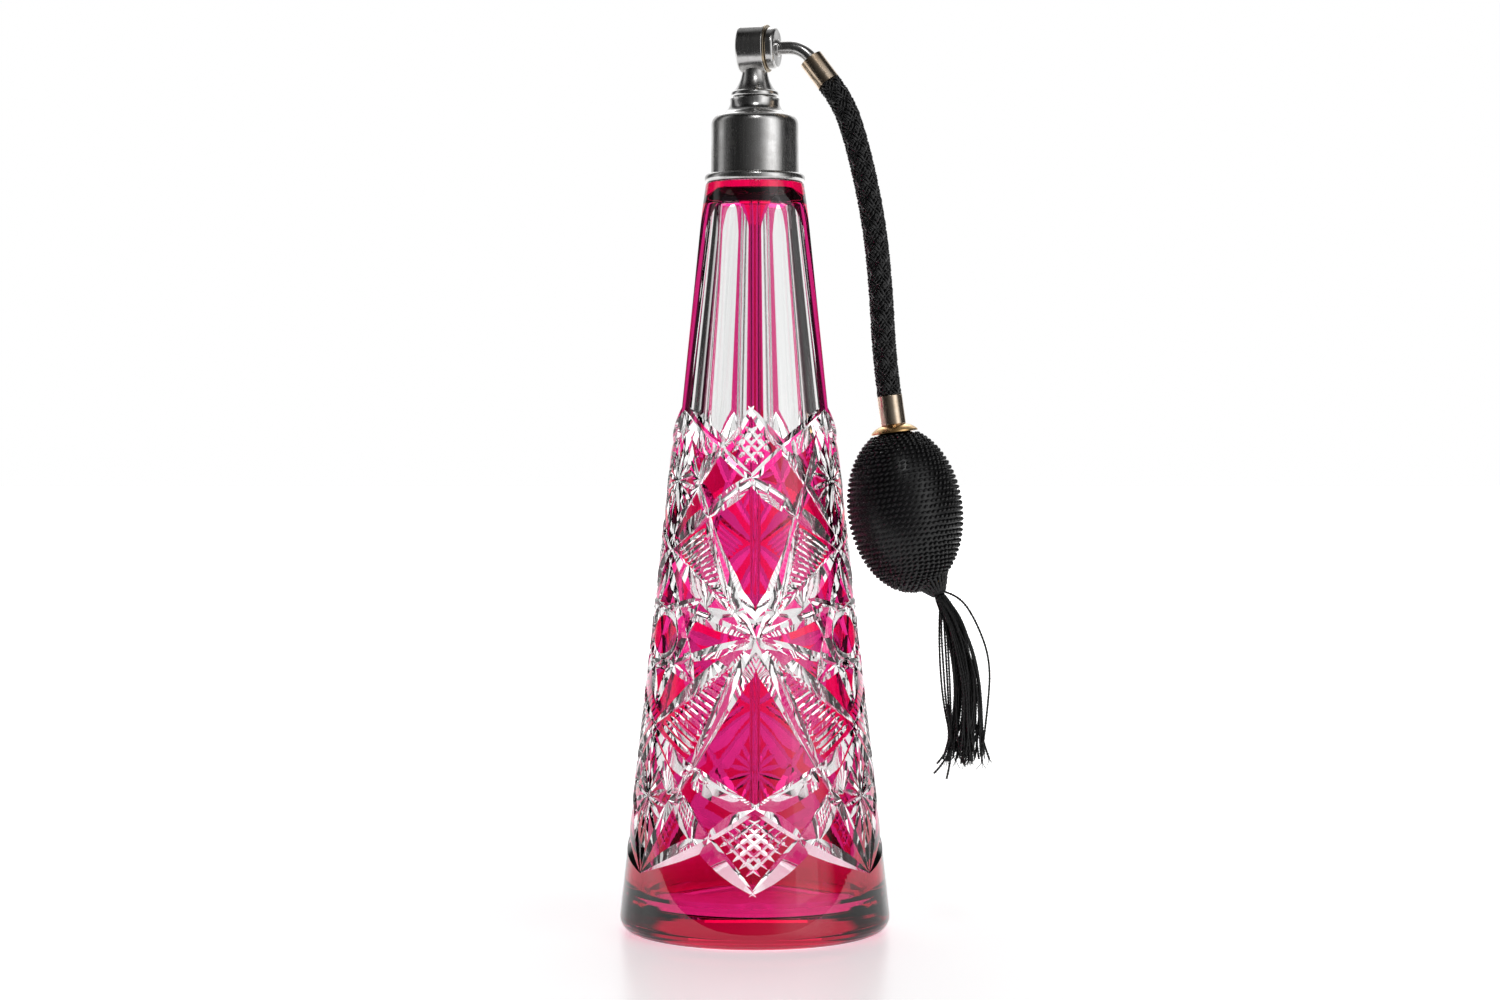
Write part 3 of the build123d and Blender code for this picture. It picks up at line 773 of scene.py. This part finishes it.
def panel_batches():
    """Six flat panels on the upper part. Each ends above in an arch and below in a point that
    leans towards its motif's axis, where the mitre cuts cross."""
    share = 0.9135
    reference = 135.0
    apex_shift = 3.4
    runs_out = 3.6
    for first in (0, 1):
        built = Builder()
        for index in range(first, 6, 2):
            a = math.radians(MOTIF_ANGLE + 30 + 60 * index)
            out = Vector((math.cos(a), math.sin(a), TAPER * share)).normalized()
            across = Vector((-math.sin(a), math.cos(a), 0))
            up = out.cross(across)
            distance = cone_radius(reference * MM) * share
            origin = Vector((distance * math.cos(a), distance * math.sin(a), reference * MM))
            apex = apex_shift * (-1 if index % 2 == 0 else 1)
            foot = [(-12, 7.2 + 0.35 * apex), (apex, -2.6), (12, 7.2 - 0.35 * apex)]
            arch = [(12 * math.cos(math.radians(d)), 58 + 9.5 * math.sin(math.radians(d)))
                    for d in range(0, 181, 12)]
            near = [origin + (across * x + up * y) * MM for x, y in foot + arch]
            far = [
                origin + (across * x + up * (y - runs_out)) * MM + out * 5 * MM for x, y in foot
            ] + [
                origin + (across * x * 1.2 + up * (58 + (y - 58) * 1.9)) * MM + out * 5 * MM
                for x, y in arch
            ]
            count = len(near)
            faces = [tuple(range(count - 1, -1, -1)), tuple(range(count, 2 * count))]
            for k in range(count):
                m = (k + 1) % count
                faces.append((k, m, count + m, count + k))
            built.add(near + far, faces)
        yield built


def blank_bottle():
    """The bottle before cutting: outside cased in pink, inside clear."""
    wall = 4.8 * MM
    floor = 7.0 * MM
    outside = [
        (0, 0),
        (BASE_RADIUS, 0),
        (cone_radius(189 * MM), 189 * MM),
        (13.85 * MM, 197.2 * MM),
        (13.2 * MM, GLASS_TOP),
        (8.8 * MM, GLASS_TOP),
        (8.8 * MM, NECK_TOP),
        (6.6 * MM, NECK_TOP),
        (6.6 * MM, 199.2 * MM),
        (cone_radius(195.4 * MM) - wall, 195.4 * MM),
        (cone_radius(floor) - wall, floor),
        (0, floor),
    ]
    corners = [
        0, 4 * MM, 16 * MM, 8 * MM, 0.4 * MM, 0,
        0.3 * MM, 0.3 * MM, 1.0 * MM, 2.5 * MM, 6 * MM, 0,
    ]
    profile = rounded(outside, corners, steps=8)
    verts, faces = lathe_mesh(profile, 240, closed=False)
    slots = []
    for face in faces:
        centre = sum((verts[i] for i in face), Vector()) / len(face)
        radius = math.hypot(centre.x, centre.y)
        is_cased = radius > cone_radius(centre.z) - 4 * MM and 0 < centre.z < GLASS_TOP
        slots.append(0 if is_cased else 2)
    return mesh_object(
        "crystal", verts, faces, [cased, clear_cut, inner_glass], smooth=False, slots=slots
    )


def subtract(target, cutter):
    """Takes the cutter's volume out of the target; the cut faces get the clear material."""
    cutter.data.polygons.foreach_set("material_index", [1] * len(cutter.data.polygons))
    step = target.modifiers.new("cut", "BOOLEAN")
    step.operation = "DIFFERENCE"
    step.solver = "MANIFOLD"
    step.object = cutter
    bpy.context.view_layer.update()
    depsgraph = bpy.context.evaluated_depsgraph_get()
    result = bpy.data.meshes.new_from_object(target.evaluated_get(depsgraph))
    target.modifiers.clear()
    old = target.data
    target.data = result
    bpy.data.meshes.remove(old)
    bpy.data.objects.remove(cutter)


def make_bottle():
    bottle = blank_bottle()
    outward(bottle)
    batches = list(panel_batches()) + list(cut_batches())
    for batch in batches:
        cutter = batch.make("cutter", [cased, clear_cut, inner_glass], smooth=False)
        outward(cutter)
        subtract(bottle, cutter)
    mesh = bottle.data
    mesh.polygons.foreach_set("use_smooth", [True] * len(mesh.polygons))
    mesh.set_sharp_from_angle(angle=math.radians(11))
    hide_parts("crystal_bottle")
    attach(bottle, "bottle")


def outward(obj):
    """Makes every face point out of its closed shell."""
    work = bmesh.new()
    work.from_mesh(obj.data)
    bmesh.ops.recalc_face_normals(work, faces=work.faces)
    work.to_mesh(obj.data)
    work.free()


make_bottle()


# ------------------------------------------------------------------ turned metal pieces

for node, material in (
    ("neck_ring", silver), ("collar_ring", silver), ("head_pillar", silver),
    ("spray_barrel", silver), ("stem", silver), ("screw_cap", silver),
    ("swivel_plug", silver), ("elbow_tube", silver), ("upper_ferrule", pale_gilt),
    ("lower_ferrule", pale_gilt), ("bulb_cap", gilt), ("lip_ring", dull_gilt),
    ("jet_insert", gilt), ("feed_nozzle", gilt), ("outlet_valve_body", gilt),
    ("outlet_valve_seat", gilt), ("inlet_valve_body", gilt), ("inlet_valve_cage", gilt),
    ("outlet_ball", silver), ("inlet_ball", silver),
):
    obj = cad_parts[node]
    obj.data.materials.clear()
    obj.data.materials.append(material)

plaster = Shader("plaster")
plaster.set(Roughness=0.9)
plaster.connect(
    plaster.ramp(plaster.noise(700), [(0.3, (0.17, 0.14, 0.11)), (0.7, (0.28, 0.24, 0.19))]),
    plaster.surface.inputs["Base Color"],
)
washer = Shader("washer_rubber")
washer.set(Roughness=0.7)
washer.connect(
    washer.ramp(washer.noise(900), [(0.3, (0.16, 0.05, 0.03)), (0.7, (0.24, 0.09, 0.05))]),
    washer.surface.inputs["Base Color"],
)
rubber = Shader("black_rubber")
rubber.set(Roughness=0.6)
rubber.connect(
    rubber.ramp(rubber.noise(900), [(0.3, (0.012, 0.012, 0.012)), (0.7, (0.03, 0.03, 0.03))]),
    rubber.surface.inputs["Base Color"],
)
tube_glass = glass("tube_glass", (0.97, 0.98, 0.98), 0.0, (0.9, 0.9, 0.9))
for node, material in (
    ("neck_cement", plaster.material), ("sealing_washer", washer.material),
    ("dip_tube", tube_glass),
):
    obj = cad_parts[node]
    obj.data.materials.clear()
    obj.data.materials.append(material)


# ------------------------------------------------------------------ netted bulb

def twisted_thread(route, radius, twist, phase, step=0.7 * MM):
    """A two-ply thread along a smooth line: its section is two lobes that turn as it goes."""
    line, _ = evenly(nurbs_points(route, 10), step)
    lobes = np.linspace(0, 2 * math.pi, 8, endpoint=False)
    reach = radius * (0.72 + 0.30 * np.abs(np.cos(lobes)))

    def section(i):
        angle = lobes + phase + twist * i * step
        return np.c_[np.cos(angle), np.sin(angle)] * reach[:, None]

    return tube_mesh(line, section)


def bulb_point(around, share, swell=0.0):
    """Point and outward normal of the bulb. share runs from -1 at the lower pole to 1 above."""
    across = math.sqrt(max(0.0, 1 - share * share))
    width = BULB_HALF_WIDTH + swell
    length = BULB_HALF_LENGTH + swell
    out = BULB_OUT * math.cos(around) + Vector((0, 1, 0)) * math.sin(around)
    point = BULB_CENTRE + out * (width * across) + BULB_UP * (length * share)
    normal = out * (across / width) + BULB_UP * (share / length)
    return point, normal.normalized()


def make_net():
    """Crocheted cover: rows of slanted stitches that wind round the bulb over a black skin."""
    rows = 47
    around_middle = 61
    rng = random.Random(11)
    built = Builder()
    inset = 0.75 * MM
    skin = []
    for k in range(33):
        share = -math.cos(math.pi * k / 32)
        skin.append((
            (BULB_HALF_WIDTH - inset) * math.sqrt(max(0, 1 - share * share)),
            (BULB_HALF_LENGTH - inset) * share,
        ))
    built.add(*lathe_mesh(skin, 64, BULB_CENTRE, BULB_UP, closed=False))
    bead_angles = np.linspace(0, 2 * math.pi, 6, endpoint=False)
    lines = [(-1.0, 0.0), (-0.72, 0.72), (0.0, 1.0), (0.72, 0.72), (1.0, 0.0)]
    polar = [math.pi * (k + 0.5) / rows for k in range(rows)]
    for row, angle in enumerate(polar):
        share = math.cos(angle)
        if share > 0.915:
            continue
        across = math.sin(angle)
        count = max(8, round(around_middle * (0.25 + 0.75 * across) * across ** 0.4))
        for k in range(count):
            turn = 2 * math.pi * (k + 0.5 * (row % 2) + rng.uniform(-0.08, 0.08)) / count
            point, normal = bulb_point(turn, share + rng.uniform(-0.004, 0.004), -0.42 * MM)
            east = UP.cross(normal).normalized() if abs(normal.z) < 0.999 else BULB_OUT
            north = normal.cross(east)
            slant = math.radians((44 if row % 2 else 30) + rng.uniform(-12, 12))
            forward = east * math.cos(slant) + north * math.sin(slant)
            side = normal.cross(forward)
            pitch = 2 * math.pi * BULB_HALF_WIDTH * across / count
            half_long = 0.47 * max(pitch, 1.0 * MM)
            half_wide = 0.41 * MM
            high = 0.45 * MM
            verts, faces = [], []
            for place, size in lines:
                centre = point + forward * (half_long * place) - normal * (0.25 * MM * place**2)
                if size == 0.0:
                    verts.append(centre)
                    continue
                for a in bead_angles:
                    verts.append(
                        centre + side * (math.cos(a) * half_wide * size)
                        + normal * (math.sin(a) * high * size)
                    )
            for m in range(6):
                n = (m + 1) % 6
                faces.append((0, 1 + n, 1 + m))
                for ring in range(2):
                    a = 1 + 6 * ring
                    faces.append((a + m, a + n, a + 6 + n, a + 6 + m))
                faces.append((13 + m, 13 + n, 19))
            built.add(verts, faces)
    # The net is drawn in over the lower valve and tied off
    route = [POLE - POLE_OUT * 2.5 * MM, POLE, POLE + POLE_OUT * 2.4 * MM]
    for end in range(22):
        turn = 2 * math.pi * end / 22
        side = POLE_OUT.cross(Vector((0, 1, 0))) * math.cos(turn) + Vector((0, math.sin(turn), 0))
        line = [place + side * wide * MM for place, wide in zip(route, (4.8, 3.3, 1.5))]
        built.add(*twisted_thread(line, 0.52 * MM, 2 * math.pi / (2.6 * MM), end))
    net = built.make("bulb_net", [net_silk])
    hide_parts("crochet_cover", "rubber_bulb")
    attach(net, "bulb")
    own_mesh(net)


make_net()


# ------------------------------------------------------------------ tassel

def make_tassel():
    """A gathered bunch of cut ends that hangs bent, with looser strands on both sides."""
    rng = random.Random(5)
    built = Builder()
    radius = 0.38 * MM
    middle = [
        KNOT - POLE_OUT * 0.9 * MM,
        KNOT + POLE_OUT * 1.4 * MM,
        Vector((54.4, 0, 84.5)) * MM,
        Vector((57.0, 0, 76.0)) * MM,
        Vector((58.4, 0, 66.0)) * MM,
        Vector((58.0, 0, 55.0)) * MM,
        Vector((56.6, 0, 46.5)) * MM,
    ]
    spread = [1.2, 1.9, 2.5, 3.2, 3.7, 4.0, 4.8]
    for strand in range(58):
        angle = rng.uniform(0, 2 * math.pi)
        away = math.sqrt(rng.uniform(0.02, 1))
        drift = rng.uniform(-0.3, 0.3)
        stop = rng.uniform(0.45, 1.0)
        splay = rng.gauss(0, 1.6)
        route = []
        for k, (centre, wide) in enumerate(zip(middle, spread)):
            turn = angle + drift * k
            offset = Vector((math.cos(turn), 0.9 * math.sin(turn), 0)) * wide * away * MM
            shake = Vector((rng.gauss(0, 0.3), rng.gauss(0, 0.3), 0)) * MM * (k > 1)
            place = centre + offset + shake
            if k == len(middle) - 1:
                place += Vector((splay, rng.gauss(0, 1), 0)) * MM
                place = route[-1] + (place - route[-1]) * stop
            route.append(place)
        twist = 2 * math.pi / (2.0 * MM)
        built.add(*twisted_thread(route, radius, twist, angle))
        if strand % 2 == 0:
            # The ply opens where the thread is cut
            end = route[-1]
            way = (route[-1] - route[-2]).normalized()
            for fork in range(3):
                lean = Vector((rng.gauss(0, 0.4), rng.gauss(0, 0.4), 0))
                tip = end + (way + lean) * rng.uniform(0.8, 1.8) * MM
                ends = [end - way * 0.6 * MM, end, tip]
                built.add(*twisted_thread(ends, 0.11 * MM, twist, fork))
    # Loose strands: four hang on the bottle's side, one loops out on the other
    loose = [
        [(51.0, 91.5), (50.6, 84), (50.8, 73), (51.8, 62), (54.0, 52.5), (51.7, 47.5)],
        [(51.3, 91.0), (51.3, 83), (52.2, 72), (53.0, 61), (55.0, 51.5), (50.5, 46.5)],
        [(51.6, 91.0), (52.2, 82), (53.0, 70), (53.6, 59), (54.6, 49), (49.5, 43.8)],
        [(51.9, 90.6), (52.9, 82), (53.8, 70), (54.2, 58), (54.6, 49), (53.0, 42.5)],
        [(51.2, 92.2), (56.0, 91.4), (61.0, 84), (64.6, 74), (64.0, 62), (62.2, 48.5)],
    ]
    for index, places in enumerate(loose):
        y = rng.uniform(-2.5, 0.5)
        route = [Vector((x, y * min(1, k / 2), z)) * MM for k, (x, z) in enumerate(places)]
        built.add(*twisted_thread(route, radius, 2 * math.pi / (2.0 * MM), index))
    tassel = built.make("tassel_bunch", [silk])
    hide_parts("tassel_threads", "tassel_knot")
    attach(tassel, "tassel")


make_tassel()


# ------------------------------------------------------------------ studio

def make_floor():
    half_width = 9
    front_edge = -0.24
    shader = Shader("floor")
    shader.set(Roughness=0.28, Base_Color=(0.9, 0.9, 0.9, 1), Specular_IOR_Level=0.35)
    # Painted light: the floor gives off light, dimmer close to the bottle as a painted shade round
    # its foot and brighter far off
    shader.surface.inputs["Emission Color"].default_value = (1, 1, 1, 1)
    away = shader.node("ShaderNodeVectorMath", operation="LENGTH")
    shader.connect(shader.coordinates, away.inputs[0])
    painted_glow_dim_near_bottle = shader.level(away.outputs["Value"], 0.44, 1.15, 0.06, 0.8)
    shader.connect(painted_glow_dim_near_bottle, shader.surface.inputs["Emission Strength"])
    # The table ends a short way in front of the bottle, where the room is dark
    corners = [
        (-half_width, front_edge, 0), (half_width, front_edge, 0),
        (half_width, half_width, 0), (-half_width, half_width, 0),
    ]
    floor = mesh_object("floor", corners, [(0, 1, 2, 3)], [shader.material])
    floor.rotation_euler.z = math.radians(VIEW_AZIMUTH)
    floor.location.z = -0.0001


def make_world():
    """White all round for the eye; the glass and metal see a white wall behind the bottle,
    a second one to its left, a soft box in front and to the right, and dark between them."""
    world = bpy.data.worlds.new("studio")
    bpy.context.scene.world = world
    world.use_nodes = True
    tree = world.node_tree
    tree.nodes.clear()

    def node(kind, **settings):
        made = tree.nodes.new(kind)
        for key, value in settings.items():
            setattr(made, key, value)
        return made

    def math_node(operation, first, second=None):
        made = node("ShaderNodeMath", operation=operation)
        for socket, value in zip(made.inputs, (first, second)):
            if isinstance(value, (int, float)):
                socket.default_value = value
            elif value is not None:
                tree.links.new(value, socket)
        return made.outputs[0]

    coordinates = node("ShaderNodeTexCoord")
    split = node("ShaderNodeSeparateXYZ")
    tree.links.new(coordinates.outputs["Generated"], split.inputs[0])
    angle = math_node("ARCTAN2", split.outputs[1], split.outputs[0])
    turns = math_node("FRACT", math_node("DIVIDE", angle, 2 * math.pi))
    ramp = node("ShaderNodeValToRGB")
    ramp.color_ramp.interpolation = "LINEAR"
    tree.links.new(turns, ramp.inputs["Fac"])
    # Compass bearings in degrees from +X, and how bright the studio is there
    behind = 90 + VIEW_AZIMUTH
    front = behind - 180
    wall = [
        (behind - 40, 0.03), (behind - 33, 0.93), (behind + 33, 0.93), (behind + 40, 0.03),
        (behind + 66, 0.03), (behind + 73, 0.6), (behind + 84, 0.6), (behind + 92, 0.1),
        (front - 62, 0.02), (front - 40, 0.02), (front - 14, 0.07), (front + 14, 0.2),
        (front + 32, 0.9), (front + 64, 0.95), (front + 76, 0.05), (front + 108, 0.03),
    ]
    stops = sorted(((bearing % 360) / 360, value) for bearing, value in wall)
    edge = stops[0][1]
    stops = [(0.0, edge)] + stops + [(1.0, edge)]
    elements = ramp.color_ramp.elements
    while len(elements) < len(stops):
        elements.new(0.5)
    for element, (place, value) in zip(elements, stops):
        element.position = place
        element.color = (value, value, value, 1)
    # Overhead, the light stands a little behind the bottle
    turn = math.radians(behind)
    height = split.outputs[2]
    for output, share in ((split.outputs[0], math.cos(turn)), (split.outputs[1], math.sin(turn))):
        height = math_node("ADD", height, math_node("MULTIPLY", output, 0.5 * share))
    overhead = node("ShaderNodeMapRange")
    overhead.inputs["From Min"].default_value = 0.9
    overhead.inputs["From Max"].default_value = 1.04
    overhead.inputs["To Min"].default_value = 0.0
    overhead.inputs["To Max"].default_value = 0.3
    tree.links.new(height, overhead.inputs["Value"])
    top_edge = node("ShaderNodeMapRange")
    top_edge.inputs["From Min"].default_value = 0.82
    top_edge.inputs["From Max"].default_value = 0.68
    tree.links.new(split.outputs[2], top_edge.inputs["Value"])
    walls = math_node("MULTIPLY", ramp.outputs["Color"], top_edge.outputs[0])
    studio = math_node("MAXIMUM", walls, overhead.outputs[0])
    path = node("ShaderNodeLightPath")
    lit = node("ShaderNodeBackground")
    tree.links.new(studio, lit.inputs["Color"])
    seen = node("ShaderNodeBackground")
    seen.inputs["Color"].default_value = (1, 1, 1, 1)
    mix = node("ShaderNodeMixShader")
    tree.links.new(path.outputs["Is Camera Ray"], mix.inputs[0])
    tree.links.new(lit.outputs[0], mix.inputs[1])
    tree.links.new(seen.outputs[0], mix.inputs[2])
    tree.links.new(mix.outputs[0], node("ShaderNodeOutputWorld").inputs["Surface"])


def area_light(name, place, target, size, power):
    data = bpy.data.lights.new(name, "AREA")
    data.shape = "RECTANGLE"
    data.size, data.size_y = size
    data.energy = power
    light = link(bpy.data.objects.new(name, data))
    light.location = place
    light.rotation_euler = (Vector(target) - Vector(place)).to_track_quat("-Z", "Y").to_euler()
    return light


make_floor()
make_world()
area_light("side", (0.81, -0.45, 0.36), (0, 0, 0.15), (0.36, 0.7), 0.5)
area_light("back", (-0.25, 0.9, 1.0), (0, 0, 0.1), (0.8, 0.8), 3)
area_light("spark", (0.22, -0.6, 0.9), (0.03, 0, 0.13), (0.16, 0.16), 1)

scene = bpy.context.scene
scene.view_settings.view_transform = "Standard"
scene.cycles.max_bounces = 20
scene.cycles.transmission_bounces = 20
scene.cycles.transparent_max_bounces = 16
